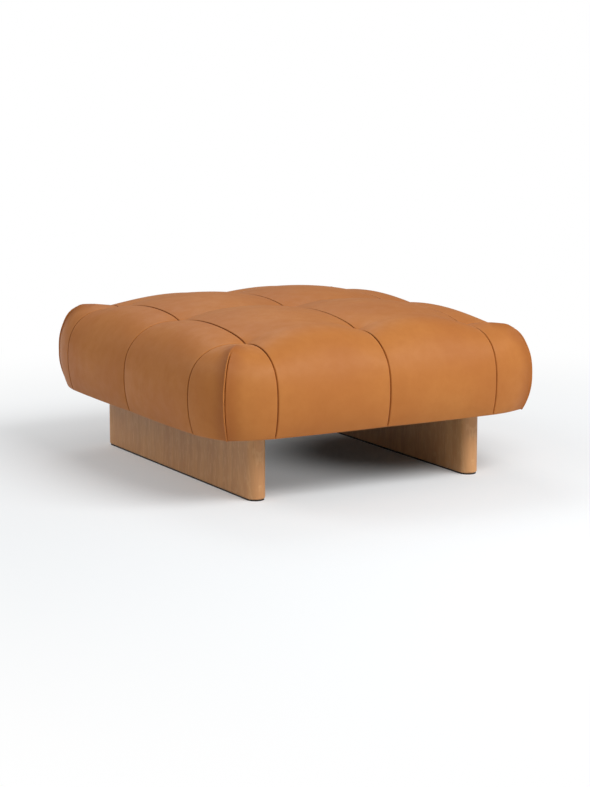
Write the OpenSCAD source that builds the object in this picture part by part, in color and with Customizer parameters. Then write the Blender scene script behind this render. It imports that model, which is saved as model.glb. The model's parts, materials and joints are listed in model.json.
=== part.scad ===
// Tufted lounge ottoman on two slab legs, in millimetres, +Z up.
// The origin lies on the floor, under the middle of the seat. -Y is the front.

/* [Tufting] */
// Distance between tufts across the width (X)
tuft_x = 280; // [240:5:320]
// Distance between tufts along the depth (Y)
tuft_y = 312; // [270:6:354]
// How far the middle of the seat crowns above the corner tufts
dome = 17; // [6:1:24]
// Rise of a seam halfway between two tufts
seam_rise = 11.5; // [6:0.5:16]
// Rise of a pillow above the seams round it
pillow_rise = 10.5; // [5:0.5:15]
// Depth of the pit at each tuft
pit_depth = 7; // [2:0.5:12]
// Radius over which that pit fades
pit_radius = 22; // [12:1:36]

/* [Border] */
// Reach of the border beyond the outer tufts
reach = 143; // [134:1:154]
// Extra reach at the middle of each side
bow = 1.5; // [0:0.5:8]
// Fullness of a border pillow between its seams
side_puff = 3; // [1:0.5:8]
// Height of the border's widest line above the hem
waist_up = 75; // [65:1:90]
// Height from the widest line up to the border's shoulder
shoulder_h = 118; // [105:1:130]
// How far the border draws in below its widest line
tuck = 13; // [4:1:16]
// Squareness of the shoulder, 2 is an ellipse
shoulder_pow = 2.85; // [2.4:0.05:3.4]
// Squareness of the corners in plan, 2 is a round
corner_pow = 2.4; // [2.2:0.05:2.8]
// Fullness of the two gussets at each corner
corner_puff = 6.5; // [2:0.5:10]
// Height of the pinched point at the top of each corner seam
ear_rise = 7.5; // [0:0.5:12]
// How far the two gussets rise to meet at the corner seam
ridge_rise = 3; // [0:0.5:6]

/* [Cover] */
// Thickness of the leather
leather_t = 2; // [1.5:0.1:2.5]
// How far the turned-under leather laps onto the underside of the frame
turn_under = 14; // [10:1:16]
// Width of the raised lip on a corner seam
lip_w = 1.8; // [1.2:0.1:3]
// Height of that lip above the leather
lip_h = 3.2; // [2:0.1:5]

/* [Frame] */
// Height of the hem, the underside of the seat, above the floor
hem_z = 150; // [140:1:160]
// Height of the timber rails
rail_h = 64; // [50:1:72]
// Thickness of the timber rails
rail_t = 28; // [26:1:32]
// Width of the cross rails that carry the legs
cross_w = 62; // [54:1:74]
// Thickness of the plywood deck
deck_t = 12; // [9:1:18]
// Distance from the border's widest line in to the faces of the frame
frame_in = 31; // [29:1:37]
// Radius of the frame's rounded corners
frame_r = 70; // [64:1:76]

/* [Filling] */
// Depth of the soft pads over the core, measured down from the border's shoulder
pad_t = 49; // [44:1:60]
// Width of the slit between two pads, where a seam is drawn down
slit_w = 4; // [3.5:0.5:8]
// Diameter of a tuft cord
cord_d = 2.4; // [1.6:0.2:2.6]
// Diameter of the button that holds a tuft cord under the deck
button_d = 28; // [20:1:34]
// Thickness of that button
button_t = 4; // [3:0.5:6]

/* [Legs] */
// Thickness of a leg slab
leg_t = 43; // [36:1:50]
// Distance from the front face of the frame in to the end of a leg
leg_end_in = 56; // [44:1:100]
// Distance from the side face of the frame in to the middle of a leg
leg_side_in = 115; // [90:1:170]
// Bevel round the bottom edge of a leg
leg_bevel = 2.5; // [1:0.5:5]
// Thickness of the black glide under a leg
glide_t = 3; // [2:0.5:5]
// How far the glide is set in from the leg's outline
glide_in = 2; // [1:0.5:4]

/* [Fasteners] */
// Number of bolts in each leg
bolt_count = 4; // [2, 4]
// Distance from the end bolts to the ends of the leg
bolt_end = 92; // [80:2:140]
// Shank diameter of a leg bolt
bolt_d = 8; // [6:1:10]
// Length of that bolt under its head
bolt_len = 66; // [60:1:72]
// Depth of the timber left under a bolt's washer
bolt_seat = 30; // [24:1:36]
// Shank diameter of a frame screw
screw_d = 5; // [4:0.5:6]
// Length of a frame screw
screw_len = 60; // [50:1:66]
// Shank diameter of a deck screw
deck_screw_d = 4; // [3:0.5:5]
// Length of a deck screw
deck_screw_len = 38; // [30:1:46]
// Head diameter of a dust cover tack
tack_d = 7; // [5:0.5:7.5]

/* [Hidden] */
// Grid steps across a panel, down a border, round a gusset
panel_n = 5;
border_n = 8;
gusset_n = 4;
// Clearance between curved soft faces, and round a pin in its hole
soft_gap = 0.3;
pin_gap = 0.25;
// Clearance between flat facets and the frame's round corners
corner_gap = 1.2;
// Grid step at which a border pad turns from the top of the core down its side
pad_turn = 3;
// Share of a step by which a corner pad is drawn back from its seams
corner_slit = 0.2;
// Shape of the swell between tufts and of the crease at a seam
swell_pow = 0.9;
crease_pow = 0.6;
// Length down the border over which a border pillow fills out
puff_fade = 0.08;
// Part of the way down the border at which the top's swell has faded
swell_fade = 0.31;
// Where down the border the corner seam starts, and over what length it bites in
ear_at = 0.19;
seam_bite = 0.12;
lip_end = 0.98;
dust_t = 1;
dust_gap = 1.5;
washer_t = 1.6;
washer_d = 2.2 * bolt_d;
bolt_head_d = 1.6 * bolt_d;
bolt_head_h = bolt_d;
insert_wall = 2;
insert_len = 26;
bolt_tip_gap = 6;
counterbore_gap = 1;
socket_d = 7;
socket_deep = 4;
screw_head_h = 3;
dowel_d = 8;
dowel_len = 40;
tack_head = 0.9;
tack_len = 11;
tack_shank = 1.8;
tack_inset = 4.5;
knot_d = 6;
knot_h = 3;
cord_gap = 1.5;
// Room that a cut runs past the face it opens on
over = 1;
// Places of deck screws and tacks, as shares of the distance between tufts
deck_screw_share = 0.7;
cross_screw_share = 0.64;
tack_share = 0.42;

cord_hole_d = cord_d + 2 * cord_gap;
waist_z = hem_z + waist_up;
shoulder_z = waist_z + shoulder_h;
frame_z = hem_z + leather_t;
deck_z = frame_z + rail_h;
core_z = deck_z + deck_t;
pad_z = shoulder_z - pad_t;
core_t = pad_z - core_z;
frame_out = reach - frame_in;
frame_x = tuft_x + frame_out;
frame_y = tuft_y + frame_out;
leg_x = frame_x - leg_side_in;
leg_len = 2 * (frame_y - leg_end_in);
bolt_z = frame_z + bolt_seat;
bolt_step = (leg_len - 2 * bolt_end) / (bolt_count - 1);
bolt_y = [for (i = [0 : bolt_count - 1]) bolt_end - leg_len / 2 + i * bolt_step];
pad_depth = leather_t + soft_gap;
rail_mid = frame_out - rail_t / 2;
cross_len = 2 * (frame_y - rail_t);

leather = [0.76, 0.49, 0.27];
oak = [0.68, 0.52, 0.36];
pine = [0.86, 0.74, 0.55];
ply = [0.80, 0.66, 0.47];
foam = [0.93, 0.90, 0.78];
wadding = [0.95, 0.95, 0.93];
black = [0.10, 0.10, 0.10];
steel = [0.62, 0.63, 0.65];

// Small helpers
function clamp(x, low, high) = min(max(x, low), high);
function mix(a, b, share) = a + (b - a) * share;
function ease(x) = let (c = clamp(x, 0, 1)) c * c * (3 - 2 * c);
function wave(t, power) = pow(max(sin(180 * clamp(t, 0, 1)), 0), power);

// Border section, at m from 0 on the tuft line to 1 at the hem: [out, up from the waist]
function border_point(m, r) =
    m <= 0.5
    ? let (a = 90 * (1 - 2 * m))
      [r * pow(max(cos(a), 0), 2 / shoulder_pow), shoulder_h * pow(sin(a), 2 / shoulder_pow)]
    : let (s = 2 * m - 1) [r - tuck * s * s, -waist_up * s];

// Unit normal of that section: [out, up]
function border_normal(m, r) =
    let (p = border_point(m, r), s = 2 * m - 1)
    let (n = m <= 0 ? [0, 1]
           : m <= 0.5 ? [pow(p[0] / r, shoulder_pow - 1) / r,
                         pow(p[1] / shoulder_h, shoulder_pow - 1) / shoulder_h]
           : [waist_up, -2 * tuck * s])
    n / norm(n);

// Height lost to the pit of the nearest tuft at plan distance d
function pit(d) = pit_depth * exp(-d / pit_radius);

// Top of the seat at u, v from 0 to 1 out from the middle tuft, as a height
function top_height(u, v) =
    shoulder_z + dome * (1 - (u * u + v * v) / 2)
    + seam_rise * (wave(u, swell_pow) + wave(v, swell_pow) - wave(u, swell_pow) * wave(v, swell_pow))
    + pillow_rise * wave(u, crease_pow) * wave(v, crease_pow)
    - pit(norm([tuft_x * min(u, 1 - u), tuft_y * min(v, 1 - v)]));

function top_point(u, v, depth) = [tuft_x * u, tuft_y * v, top_height(u, v) - depth];

// Border at t from 0 to 1 along the side from its middle tuft, at m down the section:
// [along, out, height], along and out measured in plan, out from the outer tuft line
function border_at(t, m, pitch, depth) =
    let (r = reach + bow * (1 - t * t), p = border_point(m, r), n = border_normal(m, r))
    let (fade = ease(m / swell_fade), filled = 1 - exp(-m / puff_fade))
    let (puff = seam_rise * wave(t, swell_pow) * (1 - fade) + side_puff * wave(t, crease_pow) * filled)
    let (crown = dome * (1 - (1 + t * t) / 2) * (1 - fade))
    let (out = p[0] + n[0] * puff)
    let (hole = pit(norm([pitch * min(t, 1 - t), out])))
    [pitch * t, out - n[0] * depth, waist_z + p[1] + n[1] * (puff - depth) + crown - hole];

// Corner at turn from 0 on a side's last seam to 1 on the corner seam: [out, height, angle]
function corner_at(turn, m, depth) =
    let (angle = 45 * turn, p = border_point(m, reach), n = border_normal(m, reach))
    let (plan = pow(pow(cos(angle), corner_pow) + pow(sin(angle), corner_pow), -1 / corner_pow))
    let (bite = ease((m - ear_at) / seam_bite), filled = 1 - exp(-m / puff_fade))
    let (swell = pow(sin(90 * turn), mix(1, crease_pow, bite)))
    let (ear = ear_rise * pow(wave(m / (2 * ear_at), 1), 2) * pow(turn, 3))
    let (puff = corner_puff * swell * filled + ear + ridge_rise * bite * pow(turn, 8))
    let (out = p[0] * plan + n[0] * puff)
    [out - n[0] * depth, waist_z + p[1] + n[1] * (puff - depth) - pit(out), angle];

// Distance from a corner tuft out to the face of the frame, at an angle off the side's own axis
function frame_reach(angle) =
    let (c = frame_out - frame_r, near = c * (cos(angle) + sin(angle)))
    tan(angle) * frame_out <= c
    ? frame_out / cos(angle)
    : near + sqrt(frame_r * frame_r - 2 * c * c + near * near);

// Steps crowd towards the seams, where the form turns fastest
function seam_step(i) = 0.6 * (1 - cos(180 * i / panel_n)) / 2 + 0.4 * i / panel_n;
function down_step(j) = let (s = j / border_n) s * (0.55 + 0.45 * s);

// Grids of points in the back right quarter of the seat. The last column of a skin is
// its hem, which lies flat at the height given, and a lap runs on from it under the frame.
function top_grid(depth) =
    [for (i = [0 : panel_n]) [for (j = [0 : panel_n]) top_point(seam_step(i), seam_step(j), depth)]];

function border_row(t, pitch, depth, hem) =
    [for (j = [0 : border_n]) let (p = border_at(t, down_step(j), pitch, depth))
        j < border_n ? p : [p[0], p[1], hem]];

function corner_row(turn, depth, hem) =
    [for (j = [0 : border_n]) let (p = corner_at(turn, down_step(j), depth))
        [p[0] * sin(p[2]), p[0] * cos(p[2]), j < border_n ? p[1] : hem]];

function side_skin(pitch, depth, hem) =
    [for (i = [0 : panel_n]) border_row(seam_step(i), pitch, depth, hem)];

function corner_skin(depth, hem) =
    [for (i = [0 : gusset_n]) corner_row(i / gusset_n, depth, hem)];

function side_lapped(pitch, depth, hem) =
    [for (row = side_skin(pitch, depth, hem)) concat(row, [[row[0][0], frame_out - turn_under, hem]])];

function corner_lapped(depth, hem) =
    [for (i = [0 : gusset_n]) let (a = 45 * i / gusset_n, r = frame_reach(a) - turn_under)
        concat(corner_row(i / gusset_n, depth, hem), [[r * sin(a), r * cos(a), hem]])];

// A grid with its first and last rows, and its first column, drawn back from the seams
function drawn_back(grid, row_share, column_share) =
    let (n = len(grid) - 1)
    let (rows = [for (i = [0 : n]) let (k = clamp(i, 1, n - 1))
        [for (j = [0 : len(grid[0]) - 1]) mix(grid[i][j], grid[k][j], row_share)]])
    [for (row = rows) concat([mix(row[0], row[1], column_share)], [for (j = [1 : len(row) - 1]) row[j]])];

// Inner face of a pad beside the frame: along the top of the core, then down its side
function pad_back(j, far) =
    j <= pad_turn
    ? [mix(slit_w / 2, far, j / pad_turn), pad_z]
    : [far, mix(pad_z, frame_z, (j - pad_turn) / (border_n - pad_turn))];

// Two triangles for a four-cornered face, less any that has shrunk to a line
function two(a, b, c, d) =
    [for (f = [[a, b, c], [a, c, d]]) if (f[0] != f[1] && f[1] != f[2] && f[2] != f[0]) f];

// Number of a grid point; at a pole, column 0 is a single point
function spot(i, j, side, rows, cols, pole) = side * rows * cols + (pole && j == 0 ? 0 : i * cols + j);

// Closed solid between an outer and an inner grid of as many points
module grid_solid(outer, inner, pole = false) {
    rows = len(outer);
    cols = len(outer[0]);
    skins = [for (i = [0 : rows - 2], j = [0 : cols - 2], side = [0, 1])
        let (a = spot(i, j, side, rows, cols, pole))
        let (b = spot(i, j + 1, side, rows, cols, pole))
        let (c = spot(i + 1, j + 1, side, rows, cols, pole))
        let (d = spot(i + 1, j, side, rows, cols, pole))
        each side == 0 ? two(a, b, c, d) : two(c, b, a, d)];
    ends = [for (j = [0 : cols - 2], i = [0, rows - 1])
        let (a = spot(i, j, 0, rows, cols, pole))
        let (b = spot(i, j + 1, 0, rows, cols, pole))
        let (c = spot(i, j + 1, 1, rows, cols, pole))
        let (d = spot(i, j, 1, rows, cols, pole))
        each i == 0 ? two(b, a, d, c) : two(a, b, c, d)];
    sides = [for (i = [0 : rows - 2], j = [0, cols - 1])
        let (a = spot(i, j, 0, rows, cols, pole))
        let (b = spot(i + 1, j, 0, rows, cols, pole))
        let (c = spot(i + 1, j, 1, rows, cols, pole))
        let (d = spot(i, j, 1, rows, cols, pole))
        each j == 0 ? two(a, b, c, d) : two(b, a, d, c)];
    points = [for (grid = [outer, inner]) each [for (row = grid) each row]];
    polyhedron(points = points, faces = concat(skins, ends, sides), convexity = 6);
}

// Children are drawn in the back right quarter and mirrored to the quarter named
module quarter(sx, sy) {
    mirror([sx < 0 ? 1 : 0, 0, 0]) mirror([0, sy < 0 ? 1 : 0, 0]) children();
}

// Border pieces are drawn along +X with +Y outward, then set on an end, a side or a corner
module on_end(sx, sy) {
    quarter(sx, sy) translate([0, tuft_y, 0]) children();
}

module on_side(sx, sy) {
    quarter(sx, sy) translate([tuft_x, 0, 0]) mirror([1, -1, 0]) children();
}

module on_corner(sx, sy) {
    quarter(sx, sy) translate([tuft_x, tuft_y, 0]) children();
}

// Leather panels of one quarter
module cover_top(sx, sy) {
    color(leather) quarter(sx, sy) grid_solid(top_grid(0), top_grid(leather_t));
}

module border_panel(pitch) {
    grid_solid(side_lapped(pitch, 0, hem_z), side_lapped(pitch, leather_t, frame_z));
}

module cover_end(sx, sy) {
    color(leather) on_end(sx, sy) border_panel(tuft_x);
}

module cover_side(sx, sy) {
    color(leather) on_side(sx, sy) border_panel(tuft_y);
}

// Gusset a joins the front or back border, gusset b the left or right one
module gusset() {
    grid_solid(corner_lapped(0, hem_z), corner_lapped(leather_t, frame_z), pole = true);
}

module gusset_a(sx, sy) {
    color(leather) on_corner(sx, sy) gusset();
}

module gusset_b(sx, sy) {
    color(leather) on_corner(sx, sy) mirror([1, -1, 0]) gusset();
}

// Raised fold that stands on each corner seam, from its ear down to the hem
module corner_lip() {
    function lip_point(m, depth, side) =
        let (p = corner_at(1, m, depth), half = side * lip_w / 2)
        [(p[0] + half) * sin(45), (p[0] - half) * cos(45), p[1]];
    steps = [for (k = [0 : border_n]) mix(ear_at, lip_end, k / border_n)];
    grids = [for (depth = [-lip_h, -soft_gap])
        [for (side = [-1, 1]) [for (m = steps) lip_point(m, depth, side)]]];
    grid_solid(grids[0], grids[1]);
}

module corner_seam_lips() {
    color(leather) for (sx = [-1, 1], sy = [-1, 1]) on_corner(sx, sy) corner_lip();
}

// Soft pads that fill the pillows; each stops short of its seams
module pad_top(sx, sy) {
    n = panel_n;
    x_share = slit_w / 2 / (seam_step(1) * tuft_x);
    y_share = slit_w / 2 / (seam_step(1) * tuft_y);
    part = drawn_back(top_grid(pad_depth), x_share, y_share);
    outer = [for (row = part) concat([for (j = [0 : n - 1]) row[j]], [mix(row[n], row[n - 1], y_share)])];
    inner = [for (row = outer) [for (p = row) [p[0], p[1], pad_z]]];
    color(wadding) quarter(sx, sy) grid_solid(outer, inner);
}

function side_pad_front(pitch) =
    let (skin = side_skin(pitch, pad_depth, frame_z))
    drawn_back(skin, slit_w / 2 / (seam_step(1) * pitch), slit_w / 2 / skin[0][1][1]);

function side_pad_back(front) =
    [for (row = front) [for (j = [0 : border_n])
        let (b = pad_back(j, frame_out + soft_gap))
        [row[j][0], b[0], b[1]]]];

function corner_pad_front() =
    let (skin = corner_skin(pad_depth, frame_z))
    drawn_back(skin, corner_slit, slit_w / 2 / skin[0][1][1]);

function corner_pad_back(front) =
    [for (i = [0 : gusset_n]) [for (j = [0 : border_n])
        let (p = front[i][border_n], a = atan2(p[0], p[1]), b = pad_back(j, frame_reach(a) + corner_gap))
        [b[0] * sin(a), b[0] * cos(a), b[1]]]];

module border_pad(pitch) {
    front = side_pad_front(pitch);
    grid_solid(front, side_pad_back(front));
}

module corner_pad() {
    front = corner_pad_front();
    grid_solid(front, corner_pad_back(front));
}

module pads_end(sy) {
    color(wadding) for (sx = [-1, 1]) on_end(sx, sy) border_pad(tuft_x);
}

module pads_side(sx) {
    color(wadding) for (sy = [-1, 1]) on_side(sx, sy) border_pad(tuft_y);
}

module pads_corner(sx, sy) {
    color(wadding) on_corner(sx, sy) {
        corner_pad();
        mirror([1, -1, 0]) corner_pad();
    }
}

// Outline of the frame seen from above, set in by an amount all round
module frame_plan(inset) {
    r = frame_r - inset;
    square([2 * (frame_x - inset), 2 * (frame_y - frame_r)], center = true);
    square([2 * (frame_x - frame_r), 2 * (frame_y - inset)], center = true);
    for (sx = [-1, 1], sy = [-1, 1])
        translate([sx * (frame_x - frame_r), sy * (frame_y - frame_r)]) circle(r, $fn = 96);
}

// Outline of a leg seen from above, grown by an amount all round
module leg_plan(grow) {
    r = leg_t / 2 + grow;
    square([2 * r, leg_len - leg_t], center = true);
    for (s = [-1, 1]) translate([0, s * (leg_len - leg_t) / 2]) circle(r, $fn = 96);
}

module rod(d, h) {
    cylinder(d = d, h = h, $fn = 32);
}

// Places of the tufts, screws, dowels, tacks and bolts
module at_tufts() {
    for (i = [-1 : 1], j = [-1 : 1]) translate([i * tuft_x, j * tuft_y, 0]) children();
}

module at_frame_screws() {
    for (sx = [-1, 1], sy = [-1, 1], k = [1, 2])
        translate([sx * leg_x, sy * frame_y, frame_z + rail_h * k / 3]) rotate([90 * sy, 0, 0]) children();
}

module at_frame_dowels() {
    for (sx = [-1, 1], sy = [-1, 1], k = [1, 2]) {
        z = frame_z + rail_h * k / 3;
        translate([sx * (frame_x - frame_r) - dowel_len / 2, sy * (tuft_y + rail_mid), z])
            rotate([0, 90, 0]) children();
        translate([sx * (tuft_x + rail_mid), sy * (frame_y - frame_r) + dowel_len / 2, z])
            rotate([90, 0, 0]) children();
    }
}

module at_deck_screws() {
    for (s = [-1, 1], k = [-1 : 1]) {
        translate([k * tuft_x * deck_screw_share, s * (tuft_y + rail_mid), core_z])
            rotate([180, 0, 0]) children();
        translate([s * (tuft_x + rail_mid), k * tuft_y * deck_screw_share, core_z])
            rotate([180, 0, 0]) children();
    }
    for (sx = [-1, 1], sy = [-1, 1])
        translate([sx * leg_x, sy * tuft_y * cross_screw_share, core_z]) rotate([180, 0, 0]) children();
}

module at_tacks() {
    out = frame_out - turn_under - dust_gap - tack_inset;
    for (s = [-1, 1], k = [-2 : 2]) {
        translate([k * tuft_x * tack_share, s * (tuft_y + out), 0]) children();
        translate([s * (tuft_x + out), k * tuft_y * tack_share, 0]) children();
    }
}

module at_bolts() {
    for (sx = [-1, 1], y = bolt_y) translate([sx * leg_x, y, 0]) children();
}

// A flat-headed screw driven along +Z from z = 0, or with a gap the hole for it
module screw(d, length, gap = 0) {
    cylinder(d1 = 2 * d + 2 * gap, d2 = d + 2 * gap, h = screw_head_h, $fn = 32);
    rod(d + 2 * gap, length + gap);
    if (gap > 0) translate([0, 0, -over]) rod(2 * (d + gap), over);
}

module frame_holes() {
    at_frame_screws() screw(screw_d, screw_len, pin_gap);
    at_deck_screws() screw(deck_screw_d, deck_screw_len, pin_gap);
    at_frame_dowels() translate([0, 0, -pin_gap]) rod(dowel_d + 2 * pin_gap, dowel_len + 2 * pin_gap);
    at_tacks() translate([0, 0, frame_z - over]) rod(tack_shank + 2 * pin_gap, tack_len + over);
}

module tuft_holes() {
    at_tufts() translate([0, 0, deck_z - over]) rod(cord_hole_d, deck_t + core_t + 2 * over);
}

// Filling and deck
module foam_core() {
    color(foam) difference() {
        translate([0, 0, core_z]) linear_extrude(core_t) frame_plan(0);
        tuft_holes();
    }
}

module deck() {
    color(ply) difference() {
        translate([0, 0, deck_z]) linear_extrude(deck_t) frame_plan(0);
        tuft_holes();
        at_deck_screws() screw(deck_screw_d, deck_screw_len, pin_gap);
    }
}

// A cord holds each tuft down; it is knotted under a button below the deck
module tuft_cords() {
    knot_z = deck_z - button_t - knot_h;
    color(black) for (i = [-1 : 1], j = [-1 : 1]) translate([i * tuft_x, j * tuft_y, knot_z]) {
        rod(cord_d, top_height(abs(i), abs(j)) - pad_depth - knot_z);
        rod(knot_d, knot_h);
    }
}

module tuft_buttons() {
    color(black) at_tufts() translate([0, 0, deck_z - button_t]) difference() {
        rod(button_d, button_t);
        translate([0, 0, -over]) rod(cord_d + 2 * pin_gap, button_t + 2 * over);
    }
}

// Timber frame
module rail_end(sy) {
    length = 2 * (frame_x - frame_r);
    color(pine) difference() {
        translate([-length / 2, sy * (tuft_y + rail_mid) - rail_t / 2, frame_z])
            cube([length, rail_t, rail_h]);
        frame_holes();
    }
}

module rail_side(sx) {
    length = 2 * (frame_y - frame_r);
    color(pine) difference() {
        translate([sx * (tuft_x + rail_mid) - rail_t / 2, -length / 2, frame_z])
            cube([rail_t, length, rail_h]);
        frame_holes();
    }
}

module corner_block(sx, sy) {
    color(pine) difference() {
        quarter(sx, sy) translate([frame_x - frame_r, frame_y - frame_r, frame_z]) intersection() {
            cylinder(r = frame_r, h = rail_h, $fn = 96);
            cube([2 * frame_r, 2 * frame_r, rail_h]);
        }
        frame_holes();
    }
}

// A cross rail carries one leg; pockets in its top clear the buttons above it
module cross_rail(sx) {
    pocket = button_t + knot_h + over;
    color(pine) difference() {
        translate([sx * leg_x - cross_w / 2, -cross_len / 2, frame_z])
            cube([cross_w, cross_len, rail_h]);
        frame_holes();
        at_tufts() translate([0, 0, deck_z - pocket]) rod(button_d + 2 * over, pocket + over);
        for (y = bolt_y) translate([sx * leg_x, y, 0]) {
            translate([0, 0, frame_z - over]) rod(bolt_d + 2 * pin_gap, bolt_seat + 2 * over);
            translate([0, 0, bolt_z]) rod(washer_d + counterbore_gap, deck_z - bolt_z + over);
        }
    }
}

module frame_screws() {
    color(steel) at_frame_screws() screw(screw_d, screw_len);
}

module frame_dowels() {
    color(oak) at_frame_dowels() rod(dowel_d, dowel_len);
}

module deck_screws() {
    color(steel) at_deck_screws() screw(deck_screw_d, deck_screw_len);
}

// Legs: a slab with half-round ends, bevelled round the foot
module leg_slab() {
    r = leg_t / 2;
    rb = r - leg_bevel;
    low = glide_t;
    run = leg_len - leg_t;
    rotate([90, 0, 0]) translate([0, 0, -run / 2]) linear_extrude(run)
        polygon([[-rb, low], [rb, low], [r, low + leg_bevel],
                 [r, frame_z], [-r, frame_z], [-r, low + leg_bevel]]);
    for (s = [-1, 1]) translate([0, s * run / 2, low]) {
        cylinder(r1 = rb, r2 = r, h = leg_bevel, $fn = 96);
        translate([0, 0, leg_bevel]) cylinder(r = r, h = frame_z - low - leg_bevel, $fn = 96);
    }
}

module leg(sx) {
    tip_z = bolt_z + washer_t - bolt_len - bolt_tip_gap;
    color(oak) translate([sx * leg_x, 0, 0]) difference() {
        leg_slab();
        for (y = bolt_y) translate([0, y, 0]) {
            translate([0, 0, tip_z]) rod(bolt_d + 2 * pin_gap, frame_z - tip_z + over);
            translate([0, 0, frame_z - insert_len])
                rod(bolt_d + 2 * insert_wall + 2 * pin_gap, insert_len + over);
        }
    }
}

module leg_inserts() {
    color(steel) at_bolts() translate([0, 0, frame_z - insert_len]) difference() {
        rod(bolt_d + 2 * insert_wall, insert_len);
        translate([0, 0, -over]) rod(bolt_d + 2 * pin_gap, insert_len + 2 * over);
    }
}

module leg_bolts() {
    head_z = bolt_z + washer_t;
    color(steel) at_bolts() difference() {
        union() {
            translate([0, 0, head_z - bolt_len]) rod(bolt_d, bolt_len);
            translate([0, 0, head_z]) rod(bolt_head_d, bolt_head_h);
        }
        translate([0, 0, head_z + bolt_head_h - socket_deep])
            cylinder(d = socket_d, h = socket_deep + over, $fn = 6);
    }
}

module leg_washers() {
    color(steel) at_bolts() translate([0, 0, bolt_z]) difference() {
        rod(washer_d, washer_t);
        translate([0, 0, -over]) rod(bolt_d + 2 * pin_gap, washer_t + 2 * over);
    }
}

module glide(sx) {
    color(black) translate([sx * leg_x, 0, 0]) linear_extrude(glide_t) leg_plan(-glide_in);
}

// Cloth that closes the underside, let round the legs and tacked to the rails
module dust_cover() {
    color(black) translate([0, 0, frame_z - dust_t]) linear_extrude(dust_t) difference() {
        frame_plan(turn_under + dust_gap);
        for (sx = [-1, 1]) translate([sx * leg_x, 0]) leg_plan(dust_gap);
        at_tacks() circle(d = tack_shank + 2 * pin_gap, $fn = 32);
    }
}

module dust_cover_tacks() {
    color(steel) at_tacks() translate([0, 0, frame_z - dust_t]) {
        rod(tack_shank, tack_len);
        translate([0, 0, -tack_head]) rod(tack_d, tack_head);
    }
}

cover_top(-1, -1);  // cover_top_front_left
cover_top(1, -1);  // cover_top_front_right
cover_top(-1, 1);  // cover_top_back_left
cover_top(1, 1);  // cover_top_back_right
cover_end(-1, -1);  // cover_front_left
cover_end(1, -1);  // cover_front_right
cover_end(-1, 1);  // cover_back_left
cover_end(1, 1);  // cover_back_right
cover_side(-1, -1);  // cover_left_front
cover_side(-1, 1);  // cover_left_back
cover_side(1, -1);  // cover_right_front
cover_side(1, 1);  // cover_right_back
gusset_a(-1, -1);  // gusset_front_left_a
gusset_b(-1, -1);  // gusset_front_left_b
gusset_a(1, -1);  // gusset_front_right_a
gusset_b(1, -1);  // gusset_front_right_b
gusset_a(-1, 1);  // gusset_back_left_a
gusset_b(-1, 1);  // gusset_back_left_b
gusset_a(1, 1);  // gusset_back_right_a
gusset_b(1, 1);  // gusset_back_right_b
corner_seam_lips();
pad_top(-1, -1);  // pad_top_front_left
pad_top(1, -1);  // pad_top_front_right
pad_top(-1, 1);  // pad_top_back_left
pad_top(1, 1);  // pad_top_back_right
pads_end(-1);  // pads_front
pads_end(1);  // pads_back
pads_side(-1);  // pads_left
pads_side(1);  // pads_right
pads_corner(-1, -1);  // pads_corner_front_left
pads_corner(1, -1);  // pads_corner_front_right
pads_corner(-1, 1);  // pads_corner_back_left
pads_corner(1, 1);  // pads_corner_back_right
foam_core();
deck();
tuft_cords();
tuft_buttons();
rail_end(-1);  // rail_front
rail_end(1);  // rail_back
rail_side(-1);  // rail_left
rail_side(1);  // rail_right
corner_block(-1, -1);  // corner_block_front_left
corner_block(1, -1);  // corner_block_front_right
corner_block(-1, 1);  // corner_block_back_left
corner_block(1, 1);  // corner_block_back_right
cross_rail(-1);  // cross_rail_left
cross_rail(1);  // cross_rail_right
frame_screws();
frame_dowels();
deck_screws();
leg(-1);  // leg_left
leg(1);  // leg_right
leg_inserts();
leg_bolts();
leg_washers();
glide(-1);  // glide_left
glide(1);  // glide_right
dust_cover();
dust_cover_tacks();
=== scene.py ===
import json
from math import cos, pi, radians, sin

import bmesh
import bpy
import numpy as np
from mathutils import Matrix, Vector
from mathutils.bvhtree import BVHTree
from mathutils.geometry import delaunay_2d_cdt
from mathutils.interpolate import poly_3d_calc
from mathutils.kdtree import KDTree


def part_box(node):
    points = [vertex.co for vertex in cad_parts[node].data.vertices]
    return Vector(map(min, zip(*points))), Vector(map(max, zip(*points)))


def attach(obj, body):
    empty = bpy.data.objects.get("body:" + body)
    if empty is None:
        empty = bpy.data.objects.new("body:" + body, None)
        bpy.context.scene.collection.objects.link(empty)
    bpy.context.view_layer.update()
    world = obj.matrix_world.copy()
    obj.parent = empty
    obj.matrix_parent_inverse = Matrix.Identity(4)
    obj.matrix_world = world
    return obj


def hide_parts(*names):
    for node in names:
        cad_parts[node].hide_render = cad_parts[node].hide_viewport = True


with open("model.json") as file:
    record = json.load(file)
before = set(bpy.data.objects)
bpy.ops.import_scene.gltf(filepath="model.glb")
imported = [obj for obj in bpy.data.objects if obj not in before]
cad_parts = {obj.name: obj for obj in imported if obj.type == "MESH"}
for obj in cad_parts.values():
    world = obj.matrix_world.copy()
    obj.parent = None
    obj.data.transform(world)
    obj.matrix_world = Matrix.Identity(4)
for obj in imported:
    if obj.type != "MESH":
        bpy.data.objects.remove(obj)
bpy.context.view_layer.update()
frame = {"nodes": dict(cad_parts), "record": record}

# Sizes in metres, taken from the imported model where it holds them
TUFT_X, TUFT_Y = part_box("cover_top_back_right")[1][:2]
HEM_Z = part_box("cover_back_right")[0].z
FRAME_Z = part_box("rail_back")[0].z
PAD_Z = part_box("foam_core")[1].z
FRAME_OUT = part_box("deck")[1].x - TUFT_X
FRAME_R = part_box("corner_block_back_right")[1].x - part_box("corner_block_back_right")[0].x

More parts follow.
